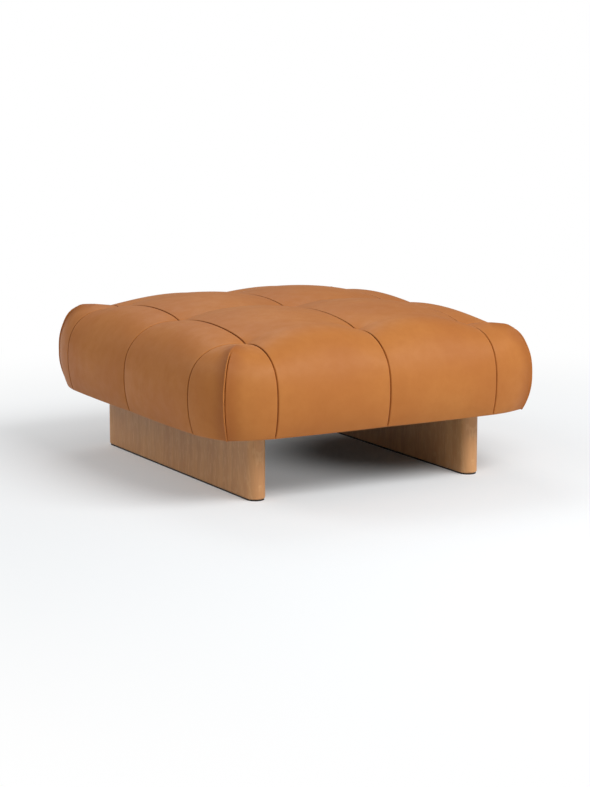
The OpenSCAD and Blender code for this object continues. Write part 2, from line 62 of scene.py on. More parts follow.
# Form of the seat, as in the part's own source
DOME = 0.017
SEAM_RISE = 0.0115
PILLOW_RISE = 0.0105
PIT_DEPTH = 0.007
PIT_RADIUS = 0.022
REACH = 0.143
BOW = 0.0015
SIDE_PUFF = 0.003
WAIST_UP = 0.075
SHOULDER_H = 0.118
TUCK = 0.013
SHOULDER_POW = 2.85
CORNER_POW = 2.4
CORNER_PUFF = 0.0065
EAR_RISE = 0.0075
RIDGE_RISE = 0.003
SWELL_POW = 0.9
CREASE_POW = 0.6
PUFF_FADE = 0.08
SWELL_FADE = 0.31
EAR_AT = 0.19
SEAM_BITE = 0.12
TURN_UNDER = 0.014
WAIST_Z = HEM_Z + WAIST_UP

# From here on, detail that only the looks have

# Soft valleys at the front, middle and back rows of tufts: 1 would fill them up
ROW_POW = 0.9
ROW_FILL = {-1: 0.8, 0: -0.35, 1: -0.2}

# Shape of the gussets at the corners, and the flatter corner at the back right
CORNER_FLAT = 0.6
CORNER_TUCK = 0.007
EAR_TIP = 0.0035
EAR_TIP_REACH = 0.016
FAR_CORNER = 0.1
FAR_DROP = 0.004
FAR_REACH = 0.035

# Mesh of the cover
MESH_STEP = 0.013
SEAM_LOOPS = (0, 0.0009, 0.002, 0.004, 0.008, 0.015)
SECTION_SAMPLES = 4001
GUSSET_W = 0.16
HEM_ROUND = 0.004
HEM_BEND = (0.35, 0.7, 1.0)
CAVITY_GAP = 0.0003
WELD = 1e-6
SQUARE_EDGE = radians(60)

# Sewn grooves, and how wide the painted shade along them is drawn: the higher, the narrower
GROOVE_DEPTH = 0.0036
GROOVE_HALF = 0.0013
TUFT_FADE = 0.008
SEAM_SAMPLES = 1201
SEAM_SHADE_SIDE = 0.4
SEAM_SHADE_FRONT = 1.6

# Cloth that swells between its seams
CLOTH_STEP = 0.011
CLOTH_FRAMES = 20
CLOTH_CAP = 0.005
CLOTH_PRESSURE = 16
CLOTH_PIN = 0.0008

# The folds that stand on the corner seams
FOLD_FROM = 0.21
FOLD_TO = 0.985
FOLD_HIGH = 0.0034
FOLD_HALF = 0.0014
FOLD_ROOT = 0.003
FOLD_ASIDE = 0.0013
FOLD_START = 0.005
FOLD_TAPER = 0.03
FOLD_LAST = 0.35
FOLD_THIN = 0.3
FOLD_STEP = 0.003
FOLD_SIDES = 12
FOLD_ANGLES = [2 * pi * k / FOLD_SIDES for k in range(FOLD_SIDES)]
# Seam distances round each fold's ring: painted shade at its root and a painted highlight on its crest
FOLD_ROOT_SHADE_GAP = 0.001
FOLD_CREST_HIGHLIGHT_GAP = 0.003

# How they sway: for each wave its pace along the seam, its share, and how many times the phase it starts at
FOLD_SWAY = 0.0005
FOLD_WAVES = ((47, 1, 1), (113, 0.6, 2))
FOLD_PHASE = 1.7

# The cover beside the folds: a fillet on one side and a cleft on the other
FILLET_RISE = 0.0024
FILLET_REACH = 0.007
CREVICE_DEPTH = 0.0034
CREVICE_ASIDE = 0.0006
CREVICE_HALF = 0.0009
# How much the painted shade at the cleft fades where the fold is still low
CREVICE_SHADE_FADE = 0.004
CORNER_REACH = 0.05

# Dust cover
SHEET_T = 0.0006
SHEET_SAG = 0.002
SHEET_STEP = 0.014
DUST_GAP = 0.0015
ARC_STEPS = 6

# What the materials use: the oak's staves, a spread of roughness and the names of the leather's distances,
# from which it paints shade and highlight
STAVE_W = 0.11
RING_SQUASH = 0.2
RING_SHIFT = 0.03
ROUGH_SPREAD = 0.06
SEAM_SHADE_AND_HIGHLIGHT_GAP = "seam_shade_and_highlight_gap"
FOLD_SHADE_GAP = "fold_shade_gap"

QUARTERS = [(sx, sy) for sx in (-1, 1) for sy in (-1, 1)]

# Camera, as the photograph was taken
CAMERA_AT = (-2.616, -4.637, 1.116)
CAMERA_AZIMUTH = radians(-29.61)
CAMERA_ELEVATION = radians(10.23)
CAMERA_LENS = 105.2
CAMERA_SENSOR = 36
CAMERA_FAR = 200


def srgb(red, green, blue):
    """A colour written as 0 to 255 sRGB values, as the shader wants it."""
    values = [c / 255 for c in (red, green, blue)]
    return [c / 12.92 if c <= 0.04045 else ((c + 0.055) / 1.055) ** 2.4 for c in values] + [1]


LEATHER_LIGHT = srgb(195, 124, 60)
LEATHER_DEEP = srgb(185, 113, 53)
LEATHER_MOTTLE = srgb(179, 107, 49)
# Painted highlight: the lighter band beside the seams, on their lips
LEATHER_SEAM_HIGHLIGHT = srgb(210, 138, 76)
# Painted shade: the dark line in the seam grooves
LEATHER_SEAM_SHADE = srgb(94, 34, 6)
# Painted shade: the darker leather near the corner folds, where the folds cast shadow
LEATHER_FOLD_SHADE = srgb(150, 80, 30)
OAK_LIGHT = srgb(220, 163, 107)
OAK_DARK = srgb(205, 147, 95)
OAK_PALE = srgb(236, 188, 134)
OAK_RED = srgb(207, 142, 89)
OAK_PORE = srgb(172, 120, 76)
PINE_LIGHT = srgb(226, 197, 152)
PINE_DARK = srgb(202, 164, 112)
PLY_LIGHT = srgb(214, 186, 145)
PLY_DARK = srgb(190, 156, 112)
FOAM_LIGHT = srgb(240, 232, 206)
FOAM_DARK = srgb(228, 216, 182)
CLOTH_LIGHT = srgb(38, 38, 39)
CLOTH_DARK = srgb(18, 18, 19)
BLACK_LIGHT = srgb(12, 11, 11)
BLACK_DARK = srgb(5, 5, 5)
STEEL_LIGHT = srgb(196, 198, 202)
STEEL_DARK = srgb(160, 163, 168)
FLOOR = srgb(226, 229, 231)

# Stage and light
FLOOR_HALF = 60
FLOOR_MIDDLE = (-0.05, -0.3, 0)
FLOOR_NEAR = 0.6
FLOOR_FAR = 2.1
# A painted glow on the floor round the seat, left out beneath it so the floor there is darker as painted
# shade
FLOOR_GLOW = 0.2
SEAT_SHADE_MIDDLE = (0.25, -0.02, 0)
SEAT_SHADE_NEAR = 0.13
SEAT_SHADE_FAR = 0.4
SKY_LIGHT = 0.28
SEAT_MIDDLE = 0.25
LAMP_DISTANCE = 4.5

# Each lamp's azimuth and elevation in degrees, width, height and power
LAMPS = {
    "key": (22, 42, 3.6, 1.9, 160),
    "fill": (-125, 34, 2.2, 1.8, 40),
    "rim": (165, 45, 1.8, 1.8, 26),
}


def ease(x):
    """0 to 1 with level ends."""
    c = np.clip(x, 0, 1)
    return c * c * (3 - 2 * c)


def wave(t, power):
    """0 at both seams of a panel and 1 halfway between them."""
    return np.abs(np.sin(pi * np.clip(t, 0, 1))) ** power


def pit(distance):
    """Height lost near a tuft."""
    return PIT_DEPTH * np.exp(-distance / PIT_RADIUS)


def border_section(m, reach):
    """Border profile at m from 0 on the tuft line to 1 at the hem: out, up, and the normal's out and up."""
    upper = m <= 0.5
    angle = pi / 2 * (1 - 2 * np.minimum(m, 0.5))
    below = np.clip(2 * m - 1, 0, 1)
    out = np.where(upper, reach * np.abs(np.cos(angle)) ** (2 / SHOULDER_POW), reach - TUCK * below**2)
    up = np.where(upper, SHOULDER_H * np.abs(np.sin(angle)) ** (2 / SHOULDER_POW), -WAIST_UP * below)
    n_out = np.where(upper, (np.maximum(out, 0) / reach) ** (SHOULDER_POW - 1) / reach, WAIST_UP)
    n_up = (np.maximum(up, 0) / SHOULDER_H) ** (SHOULDER_POW - 1) / SHOULDER_H
    n_up = np.where(upper, n_up, -2 * TUCK * below)
    length = np.hypot(n_out, n_up)
    return out, up, n_out / length, n_up / length


def row_fill(v):
    """How full the top is at v from the front row of tufts to the back one: soft valleys at the rows."""
    low = np.select([v < -0.5, v > 0.5], [ROW_FILL[-1], ROW_FILL[1]], ROW_FILL[0])
    return low + (1 - low) * wave(np.abs(v), ROW_POW)


def top_point(u, v):
    """Top of the seat at u, v from -1 to 1 between the outer tufts."""
    au, av = np.abs(u), np.abs(v)
    swell_u, swell_v = wave(au, SWELL_POW), wave(av, SWELL_POW)
    height = WAIST_Z + SHOULDER_H + DOME * (1 - (au**2 + av**2) / 2)
    height = height + SEAM_RISE * (swell_u + swell_v - swell_u * swell_v)
    height = height + PILLOW_RISE * wave(au, CREASE_POW) * row_fill(v)
    near = np.hypot(TUFT_X * np.minimum(au, 1 - au), TUFT_Y * np.minimum(av, 1 - av))
    return np.stack([TUFT_X * u, TUFT_Y * v, height - pit(near)], -1)


def border_point(t, m, pitch, fill):
    """Border at t from -1 to 1 along a side and m down it: along, out from the tuft line, height."""
    at = np.abs(t)
    out, up, n_out, n_up = border_section(m, REACH + BOW * (1 - at**2))
    fade = ease(m / SWELL_FADE)
    puff = (SEAM_RISE * wave(at, SWELL_POW) + fill * PILLOW_RISE * wave(at, CREASE_POW)) * (1 - fade)
    puff = puff + SIDE_PUFF * wave(at, CREASE_POW) * (1 - np.exp(-m / PUFF_FADE))
    crown = DOME * (1 - (1 + at**2) / 2) * (1 - fade)
    out = out + n_out * puff
    hole = pit(np.hypot(pitch * np.minimum(at, 1 - at), out))
    return np.stack([pitch * t, out, WAIST_Z + up + n_up * puff + crown - hole], -1)


def corner_point(turn, m, lift=0.0):
    """Corner at turn from 0 on a side's last seam to 1 on the corner seam: along, out, height."""
    angle = pi / 4 * turn
    out, up, n_out, n_up = border_section(m, REACH)
    plan = (np.cos(angle) ** CORNER_POW + np.sin(angle) ** CORNER_POW) ** (-1 / CORNER_POW)
    tilt = np.arctan(2 ** (1 / CORNER_POW) - 1)
    plan = plan + CORNER_FLAT * (np.cos(tilt) / np.cos(angle - tilt) - plan)
    bite = ease((m - EAR_AT) / SEAM_BITE)
    swell = np.sin(pi / 2 * turn) ** (1 + (CREASE_POW - 1) * bite)
    swell = swell + CORNER_FLAT * bite * (turn - swell)
    ear = EAR_RISE * wave(m / (2 * EAR_AT), 1) ** 2 * turn**3
    puff = CORNER_PUFF * swell * (1 - np.exp(-m / PUFF_FADE)) + ear + RIDGE_RISE * bite * turn**8
    out = out * plan + n_out * puff - CORNER_TUCK * np.clip(2 * m - 1, 0, 1) ** 2 * turn**3
    height = WAIST_Z + up + n_up * (puff + lift) - pit(out)
    out = out + n_out * lift
    return np.stack([out * np.sin(angle), out * np.cos(angle), height], -1)


def frame_reach(angle):
    """Distance from a corner tuft out to the frame's face, at an angle off the side's axis."""
    inset = FRAME_OUT - FRAME_R
    near = inset * (np.cos(angle) + np.sin(angle))
    arc = near + np.sqrt(np.maximum(FRAME_R**2 - 2 * inset**2 + near**2, 0))
    return np.where(np.tan(angle) * FRAME_OUT <= inset, FRAME_OUT / np.cos(angle), arc)


def across_panel(length, step, loops):
    """Shares from 0 to 1 across a panel: loops crowd at both seams, with even steps between them."""
    near = np.array(loops)
    count = max(int(round((length - 2 * near[-1]) / step)), 3)
    between = np.linspace(near[-1], length - near[-1], count + 1)[1:-1]
    return np.concatenate([near, between, length - near[::-1]]) / length


def down_border(step, loops):
    """Places down the border as m, by distance along its section, ending just short of the hem."""
    m = np.linspace(0, 1, SECTION_SAMPLES) ** 2
    out, up, _, _ = border_section(m, REACH)
    run = np.concatenate([[0], np.cumsum(np.hypot(np.diff(out), np.diff(up)))])
    count = int(round((run[-1] - loops[-1]) / step))
    even = np.linspace(loops[-1], run[-1] - HEM_ROUND, count + 1)[1:]
    return np.interp(np.concatenate([loops, even]), run, m)


def both_ways(shares):
    """The same steps on both sides of a middle seam, from -1 to 1."""
    return np.concatenate([-shares[:0:-1], shares])


def end_place(sy):
    """Puts border points on the front (-1) or back (1) side of the seat."""
    return lambda p: np.stack([p[..., 0], sy * (TUFT_Y + p[..., 1]), p[..., 2]], -1)


def side_place(sx):
    """Puts border points on the left (-1) or right (1) side of the seat."""
    return lambda p: np.stack([sx * (TUFT_X + p[..., 1]), p[..., 0], p[..., 2]], -1)


def corner_place(sx, sy, swapped):
    """Puts corner points on one corner: as drawn, or with along and out swapped for the other gusset."""
    along, out = (1, 0) if swapped else (0, 1)
    return lambda p: np.stack([sx * (TUFT_X + p[..., along]), sy * (TUFT_Y + p[..., out]), p[..., 2]], -1)


def under_columns(last, hem, base, away, face):
    """Columns of points that carry the skin on: round the hem, under the frame and up round the core."""
    outward = np.column_stack([away, np.zeros(len(away))])
    corner = np.column_stack([hem[:, :2], np.full(len(hem), HEM_Z)])
    under = corner - HEM_ROUND * outward
    bend = [(1 - s) ** 2 * last + 2 * s * (1 - s) * corner + s * s * under for s in HEM_BEND]
    lap = face - TURN_UNDER
    wall = face + CAVITY_GAP
    under_frame, core_top = FRAME_Z - CAVITY_GAP, PAD_Z + CAVITY_GAP
    turns = ((lap, HEM_Z), (lap, under_frame), (wall, under_frame), (wall, core_top))
    rest = [np.column_stack([base + away * out[:, None], np.full(len(hem), z)]) for out, z in turns]
    return np.stack(bend + rest, 1)


def border_grid(t, m, pitch, fill):
    """Skin of one side's border from its seam with the top to the hollow."""
    grid = border_point(*np.meshgrid(t, m, indexing="ij"), pitch, fill)
    hem = border_point(t, np.ones_like(t), pitch, fill)
    base = np.column_stack([pitch * t, np.zeros_like(t)])
    away = np.column_stack([np.zeros_like(t), np.ones_like(t)])
    under = under_columns(grid[:, -1], hem, base, away, np.full_like(t, FRAME_OUT))
    return np.concatenate([grid, under], 1)


def gusset_grid(turn, m):
    """Skin of one gusset, from its tuft to the hollow."""
    grid = corner_point(*np.meshgrid(turn, m, indexing="ij"))
    hem = corner_point(turn, np.ones_like(turn))
    angle = pi / 4 * turn
    away = np.column_stack([np.sin(angle), np.cos(angle)])
    under = under_columns(grid[:, -1], hem, np.zeros_like(away), away, frame_reach(angle))
    return np.concatenate([grid, under], 1)


def seat_grids(step, loops):
    """Grids of points that cover the seat's whole skin; neighbours share their edge points."""
    along_x = both_ways(across_panel(TUFT_X, step, loops))
    along_y = both_ways(across_panel(TUFT_Y, step, loops))
    turn = across_panel(GUSSET_W, step, loops)
    m = down_border(step, loops)
    side, gusset = border_grid(along_y, m, TUFT_Y, 0), gusset_grid(turn, m)
    grids = [top_point(*np.meshgrid(along_x, along_y, indexing="ij"))]
    grids += [end_place(s)(border_grid(along_x, m, TUFT_X, ROW_FILL[s])) for s in (-1, 1)]
    grids += [side_place(s)(side) for s in (-1, 1)]
    return grids + [corner_place(sx, sy, swap)(gusset) for sx, sy in QUARTERS for swap in (False, True)]


def seat_mesh(name, step, loops):
    """Mesh of the seat's skin, open over the hollow, with the hollow's square edges creased."""
    points, faces = [], []
    for grid in seat_grids(step, loops):
        rows, cols = grid.shape[:2]
        first = sum(len(p) for p in points)
        corner = np.arange(rows - 1)[:, None] * cols + np.arange(cols - 1)
        quads = np.stack([corner, corner + cols, corner + cols + 1, corner + 1], -1)
        faces += (first + quads.reshape(-1, 4)).tolist()
        points.append(grid.reshape(-1, 3))
    mesh = bpy.data.meshes.new(name)
    mesh.from_pydata(np.concatenate(points), [], faces)
    bm = bmesh.new()
    bm.from_mesh(mesh)
    bmesh.ops.remove_doubles(bm, verts=bm.verts, dist=WELD)
    bmesh.ops.recalc_face_normals(bm, faces=bm.faces)
    crease = bm.edges.layers.float.new("crease_edge")
    for edge in bm.edges:
        if edge.calc_face_angle(0) > SQUARE_EDGE:
            edge[crease] = 1
    bm.to_mesh(mesh)
    bm.free()
    return mesh


def close_hollow(mesh):
    """Closes the skin over the hollow that the frame and the core fill."""
    bm = bmesh.new()
    bm.from_mesh(mesh)
    bmesh.ops.contextual_create(bm, geom=[e for e in bm.edges if e.is_boundary])
    bmesh.ops.recalc_face_normals(bm, faces=bm.faces)
    bm.to_mesh(mesh)
    bm.free()


def tree_of(points):
    """Search tree of points."""
    tree = KDTree(len(points))
    for i, p in enumerate(points):
        tree.insert(p, i)
    tree.balance()
    return tree


def seam_points():
    """Points close together along the sewn seams: front to back over the top, and down the border."""
    run = np.linspace(-1, 1, SEAM_SAMPLES)
    m = (run + 1) / 2
    lines = []
    for k in (-1, 0, 1):
        at = np.full_like(run, k)
        lines.append(top_point(at, run))
        for s in (-1, 1):
            lines.append(end_place(s)(border_point(at, m, TUFT_X, 0)))
            lines.append(side_place(s)(border_point(at, m, TUFT_Y, 0)))
    return np.concatenate(lines)


def corner_seam_points():
    """Points along the four corner seams."""
    m = np.linspace(0, 1, SEAM_SAMPLES)
    line = corner_point(np.ones_like(m), m)
    return np.concatenate([corner_place(sx, sy, False)(line) for sx, sy in QUARTERS])


def tuft_points():
    """The nine tufts."""
    u, v = np.meshgrid([-1.0, 0.0, 1.0], [-1.0, 0.0, 1.0])
    return top_point(u.ravel(), v.ravel())


def read_points(mesh, normals=False):
    """Vertex places of a mesh, or its vertex normals."""
    out = np.empty(3 * len(mesh.vertices))
    if normals:
        mesh.vertex_normals.foreach_get("vector", out)
    else:
        mesh.vertices.foreach_get("co", out)
    return out.reshape(-1, 3)


def gaps_to(tree, points):
    """Distance from each point to the nearest one in a tree."""
    return np.array([tree.find(p)[2] for p in points])


def applied(piece):
    """Gives a piece the mesh that its modifiers make, and takes them off."""
    shown = piece.evaluated_get(bpy.context.evaluated_depsgraph_get())
    old = piece.data
    piece.data = bpy.data.meshes.new_from_object(shown)
    piece.modifiers.clear()
    bpy.data.meshes.remove(old)


def link(piece):
    """Puts a new object into the scene."""
    bpy.context.scene.collection.objects.link(piece)
    return piece


def keep_gaps(mesh, name, values):
    """Keeps each point's distance to its seam, or to its corner fold, for the material."""
    mesh.attributes.new(name, "FLOAT", "POINT").data.foreach_set("value", values)


def corner_share(sx, sy):
    """How much of the corner's fold and peak shows: less at the back right corner, which lies flatter."""
    return FAR_CORNER if sx > 0 and sy > 0 else 1


def corner_seam(points):
    """How far each point rises at the four corner seams, and its distance to the nearest seam's cleft, from
    which the material paints shade.

    Seen from outside, the cover left of a corner seam rises to a fold that laps the cover right of it.
    """
    m, _, height = fold_path()
    share = height / FOLD_HIGH
    line = corner_point(np.ones_like(m), m)
    tip = corner_point(np.ones(1), np.full(1, EAR_AT))
    rise, gap = np.zeros(len(points)), np.full(len(points), CORNER_REACH)
    for sx, sy in QUARTERS:
        put = corner_place(sx, sy, False)
        away = points[:, :2] - (sx * TUFT_X, sy * TUFT_Y)
        near = np.nonzero((away * (sx, sy)).min(1) > 0)[0]
        tree = tree_of(put(line))
        found = [tree.find(points[i]) for i in near]
        at = share[[f[1] for f in found]]
        close = np.array([f[2] for f in found]) < CORNER_REACH
        aside = (away[near, 1] * sx - away[near, 0] * sy) / np.sqrt(2)
        fillet = FILLET_RISE * np.exp(np.minimum(aside, 0) / FILLET_REACH) * (aside <= 0)
        cleft = CREVICE_DEPTH * np.exp(-(((aside - CREVICE_ASIDE) / CREVICE_HALF) ** 2)) * (aside >= 0)
        from_tip = np.linalg.norm(points[near] - put(tip), axis=1)
        peak = EAR_TIP * np.exp(-((from_tip / EAR_TIP_REACH) ** 2))
        shown = corner_share(sx, sy)
        rise[near] = shown * (np.where(close, at * (fillet - cleft), 0) + peak)
        if shown < 1:
            rise[near] -= FAR_DROP * np.exp(-((from_tip / FAR_REACH) ** 2))
        # Distance to the cleft, grown where the fold is low, for the painted shade near the folds
        gap[near] = np.where(close, np.abs(aside - CREVICE_ASIDE) + CREVICE_SHADE_FADE * (1 - at), CORNER_REACH)
    return rise, gap


def sew(piece):
    """Presses the seams into the cover, shapes its corners and keeps the distances that its material paints
    shade and highlight from.
    """
    points = read_points(piece.data)
    gap = gaps_to(tree_of(seam_points()), points)
    fade = 1 - np.exp(-((gaps_to(tree_of(tuft_points()), points) / TUFT_FADE) ** 2))
    rise, cleft_shade_gap = corner_seam(points)
    rise -= GROOVE_DEPTH * np.exp(-((gap / GROOVE_HALF) ** 2)) * fade
    normals = read_points(piece.data, normals=True)
    points += normals * rise[:, None]
    piece.data.vertices.foreach_set("co", points.ravel())
    # Painted shade along the seams is drawn wider where the cover faces the sides or up, narrower on the
    # front and back; the cleft beside each corner fold takes it too
    narrow = SEAM_SHADE_SIDE + (SEAM_SHADE_FRONT - SEAM_SHADE_SIDE) * np.abs(normals[:, 1])
    keep_gaps(piece.data, SEAM_SHADE_AND_HIGHLIGHT_GAP, np.minimum(gap * narrow, cleft_shade_gap))
    keep_gaps(piece.data, FOLD_SHADE_GAP, cleft_shade_gap)
    piece.data.update()


def held(points):
    """True for points that the seams, the tufts and the frame hold while the cover swells."""
    sewn = np.minimum(gaps_to(tree_of(seam_points()), points), gaps_to(tree_of(corner_seam_points()), points))
    inside = np.all(np.abs(points[:, :2]) < np.array([TUFT_X, TUFT_Y]) + FRAME_OUT + CLOTH_PIN, 1)
    hollow = inside & (points[:, 2] < PAD_Z + CLOTH_PIN)
    return (sewn < CLOTH_PIN) | (points[:, 2] < HEM_Z + CLOTH_PIN) | hollow


def swell(mesh):
    """Swells the cover as cloth between its seams, on a mesh of its own, and moves the mesh as that moved."""
    start = seat_mesh("swell", CLOTH_STEP, (0.0,))
    piece = link(bpy.data.objects.new("swell", start))
    before = read_points(start)
    faces = [tuple(f.vertices) for f in start.polygons]
    fixed = piece.vertex_groups.new(name="held")
    fixed.add(np.nonzero(held(before))[0].tolist(), 1, "REPLACE")
    cloth = piece.modifiers.new("Swell", "CLOTH").settings
    cloth.vertex_group_mass = fixed.name
    cloth.use_pressure = True
    cloth.uniform_pressure_force = CLOTH_PRESSURE
    cloth.effector_weights.gravity = 0
    for number in range(1, CLOTH_FRAMES + 1):
        bpy.context.scene.frame_set(number)
    applied(piece)
    bpy.context.scene.frame_set(1)
    moved = read_points(piece.data) - before
    length = np.linalg.norm(moved, axis=1, keepdims=True)
    moved *= CLOTH_CAP / np.maximum(length, CLOTH_CAP)
    tree = BVHTree.FromPolygons(before.tolist(), faces)
    points = read_points(mesh)
    for i, point in enumerate(points.copy()):
        spot, _, face, _ = tree.find_nearest(point)
        corners = faces[face]
        points[i] += np.array(poly_3d_calc([Vector(before[c]) for c in corners], spot)) @ moved[list(corners)]
    mesh.vertices.foreach_set("co", points.ravel())
    done = piece.data
    bpy.data.objects.remove(piece)
    bpy.data.meshes.remove(done)


def seat_cushion():
    """The stuffed leather seat as one closed form."""
    piece = link(bpy.data.objects.new("seat_cushion", seat_mesh("seat_cushion", MESH_STEP, SEAM_LOOPS)))
    swell(piece.data)
    smooth = piece.modifiers.new("Smooth", "SUBSURF")
    smooth.levels = smooth.render_levels = 1
    applied(piece)
    close_hollow(piece.data)
    sew(piece)
    piece.data.shade_smooth()
    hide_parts(*[n for n in frame["nodes"] if n.startswith(("cover_", "gusset_", "pad"))])
    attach(piece, "root")
    return piece


def fold_path():
    """Places along a corner seam from its ear to the hem, as m and in metres, and the fold's height there."""
    m = np.linspace(FOLD_FROM, FOLD_TO, SECTION_SAMPLES)
    line = corner_point(np.ones_like(m), m)
    run = np.concatenate([[0], np.cumsum(np.linalg.norm(np.diff(line, axis=0), axis=1))])
    places = np.linspace(0, run[-1], int(run[-1] / FOLD_STEP))
    rise = 1 - np.exp(-places / FOLD_START)
    fall = 1 - np.exp(-(run[-1] - places) / FOLD_TAPER)
    return np.interp(places, run, m), places, FOLD_HIGH * rise * (FOLD_LAST + (1 - FOLD_LAST) * fall)


def fold_tube(sx, sy, phase):
    """The fold that stands on one corner seam, as rings of points: a rounded ridge over a buried root."""
    m, places, height = fold_path()
    height = height * corner_share(sx, sy)
    turn = np.ones_like(m)
    sway = FOLD_SWAY * sum(share * np.sin(places * pace + times * phase) for pace, share, times in FOLD_WAVES)
    across = np.array([-sy, sx, 0]) / np.sqrt(2)
    rings = []
    for angle in FOLD_ANGLES:
        lift = np.where(cos(angle) > 0, height * cos(angle), FOLD_ROOT * cos(angle))
        half = FOLD_HALF * sin(angle) * np.minimum(1, height / FOLD_HIGH + FOLD_THIN)
        aside = half + sway * (lift + FOLD_ROOT) / (FOLD_HIGH + FOLD_ROOT) - FOLD_ASIDE
        rings.append(corner_place(sx, sy, False)(corner_point(turn, m, lift)) + aside[:, None] * across)
    return np.stack(rings, 1)


def seam_folds():
    """The narrow folds that stand on the four corner seams."""
    bm = bmesh.new()
    for k, (sx, sy) in enumerate(QUARTERS):
        made = [[bm.verts.new(p) for p in ring] for ring in fold_tube(sx, sy, FOLD_PHASE * k)]
        for a, b in zip(made, made[1:]):
            for i, j in zip(range(len(a)), list(range(1, len(a))) + [0]):
                bm.faces.new((a[i], a[j], b[j], b[i]))
        bm.faces.new(made[0])
        bm.faces.new(made[-1][::-1])
    bmesh.ops.recalc_face_normals(bm, faces=bm.faces)
    mesh = bpy.data.meshes.new("seam_folds")
    bm.to_mesh(mesh)
    bm.free()
    mesh.shade_smooth()
    # Painted shade at the root of each fold and a painted highlight on its crest, set as distances round its
    # ring
    ring_shade_and_highlight = [FOLD_ROOT_SHADE_GAP + (FOLD_CREST_HIGHLIGHT_GAP - FOLD_ROOT_SHADE_GAP) * max(cos(a), 0) for a in FOLD_ANGLES]
    keep_gaps(mesh, SEAM_SHADE_AND_HIGHLIGHT_GAP, np.tile(ring_shade_and_highlight, len(mesh.vertices) // FOLD_SIDES))
    # The folds themselves take part of the painted shade near the corner folds
    keep_gaps(mesh, FOLD_SHADE_GAP, np.full(len(mesh.vertices), CORNER_REACH / 2))
    piece = link(bpy.data.objects.new("seam_folds", mesh))
    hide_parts("corner_seam_lips")
    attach(piece, "root")
    return piece


def round_outline(x, y, radius, step):
    """Outline of a rectangle of half sizes x, y with round corners, as points about a step apart."""
    points = []
    for k, (cx, cy) in enumerate(((1, 1), (-1, 1), (-1, -1), (1, -1))):
        arc = pi / 2 * k + np.linspace(0, pi / 2, max(int(radius * pi / 2 / step), ARC_STEPS) + 1)
        middle = np.array([cx * (x - radius), cy * (y - radius)])
        points.append(middle + radius * np.column_stack([np.cos(arc), np.sin(arc)]))
    points.append(points[0][:1])
    ring = np.concatenate(points)
    out = []
    for a, b in zip(ring, ring[1:]):
        count = max(int(round(np.linalg.norm(b - a) / step)), 1)
        out += [a + (b - a) * i / count for i in range(count)]
    return [p for i, p in enumerate(out) if np.linalg.norm(p - out[i - 1]) > WELD]


def sheet_inside(p, x, y, radius, margin):
    """True where a point is inside a round-cornered rectangle by a margin, or for a negative one near it."""
    past = np.maximum(np.abs(p) - (np.array([x, y]) - radius), 0)
    return np.hypot(*past) < radius - margin and np.all(np.abs(p) < np.array([x, y]) - margin)


def underside_mesh():
    """Flat net of the dust cover with holes round the legs, sagging a little between its tacks."""
    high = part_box("dust_cover")[1]
    low_leg, high_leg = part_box("leg_right")
    radius = FRAME_R - TURN_UNDER - DUST_GAP
    leg_x, half = (low_leg.x + high_leg.x) / 2, (high_leg.x - low_leg.x) / 2 + DUST_GAP
    leg_y = high_leg.y + DUST_GAP
    holes = [np.array([s * leg_x, 0]) for s in (-1, 1)]
    loops = [round_outline(high.x, high.y, radius, SHEET_STEP)]
    loops += [[p + hole for p in round_outline(half, leg_y, half, SHEET_STEP / 2)] for hole in holes]
    points, edges = [], []
    for loop in loops:
        first = len(points)
        edges += [(first + i, first + (i + 1) % len(loop)) for i in range(len(loop))]
        points += loop
    for px in np.arange(-high.x, high.x, SHEET_STEP):
        for py in np.arange(-high.y, high.y, SHEET_STEP):
            p = np.array([px, py])
            clear = all(not sheet_inside(p - hole, half, leg_y, half, -SHEET_STEP / 2) for hole in holes)
            if clear and sheet_inside(p, high.x, high.y, radius, SHEET_STEP / 2):
                points.append(p)
    flat, _, faces = delaunay_2d_cdt([Vector(p) for p in points], edges, [], 1, WELD)[:3]
    faces = [f for f in faces if all(
        not sheet_inside(np.mean([flat[i] for i in f], 0) - hole, half, leg_y, half, 0) for hole in holes)]
    top = FRAME_Z - SHEET_T
    sag = [SHEET_SAG * (1 - (p.x / high.x) ** 2) * (1 - (p.y / high.y) ** 2) for p in flat]
    mesh = bpy.data.meshes.new("underside_cloth")
    mesh.from_pydata([(p.x, p.y, top - drop) for p, drop in zip(flat, sag)], [], faces)
    return mesh


def underside_cloth():
    """The thin cloth that closes the underside."""
    piece = link(bpy.data.objects.new("underside_cloth", underside_mesh()))
    thick = piece.modifiers.new("Thick", "SOLIDIFY")
    thick.thickness = SHEET_T
    thick.offset = 0
    applied(piece)
    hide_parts("dust_cover")
    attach(piece, "root")
    return piece


def add(tree, kind, inputs, **settings):
    """Adds a shader node with its settings; each input is a value, or a socket to link."""
    made = tree.nodes.new("ShaderNode" + kind)
    for name, value in settings.items():
        setattr(made, name, value)
    for name, value in inputs.items():
        if isinstance(value, bpy.types.NodeSocket):
            tree.links.new(value, made.inputs[name])
        else:
            made.inputs[name].default_value = value
    return made


def fresh(name):
    """A new material, with its node tree and its shader."""
    material = bpy.data.materials.new(name)
    material.use_nodes = True
    tree = material.node_tree
    return material, tree, tree.nodes["Principled BSDF"]


def scaled(tree, vector, scale):
    """Places stretched by a scale along each axis."""
    return add(tree, "Mapping", {"Vector": vector, "Scale": scale}).outputs["Vector"]


def place(tree, scale=(1, 1, 1)):
    """Places on the object in metres, stretched by a scale."""
    return scaled(tree, add(tree, "TexCoord", {}).outputs["Object"], scale)


def distance_to(tree, point):
    """Distance on the object from a point."""
    return add(tree, "VectorMath", {0: place(tree), 1: point}, operation="DISTANCE").outputs["Value"]


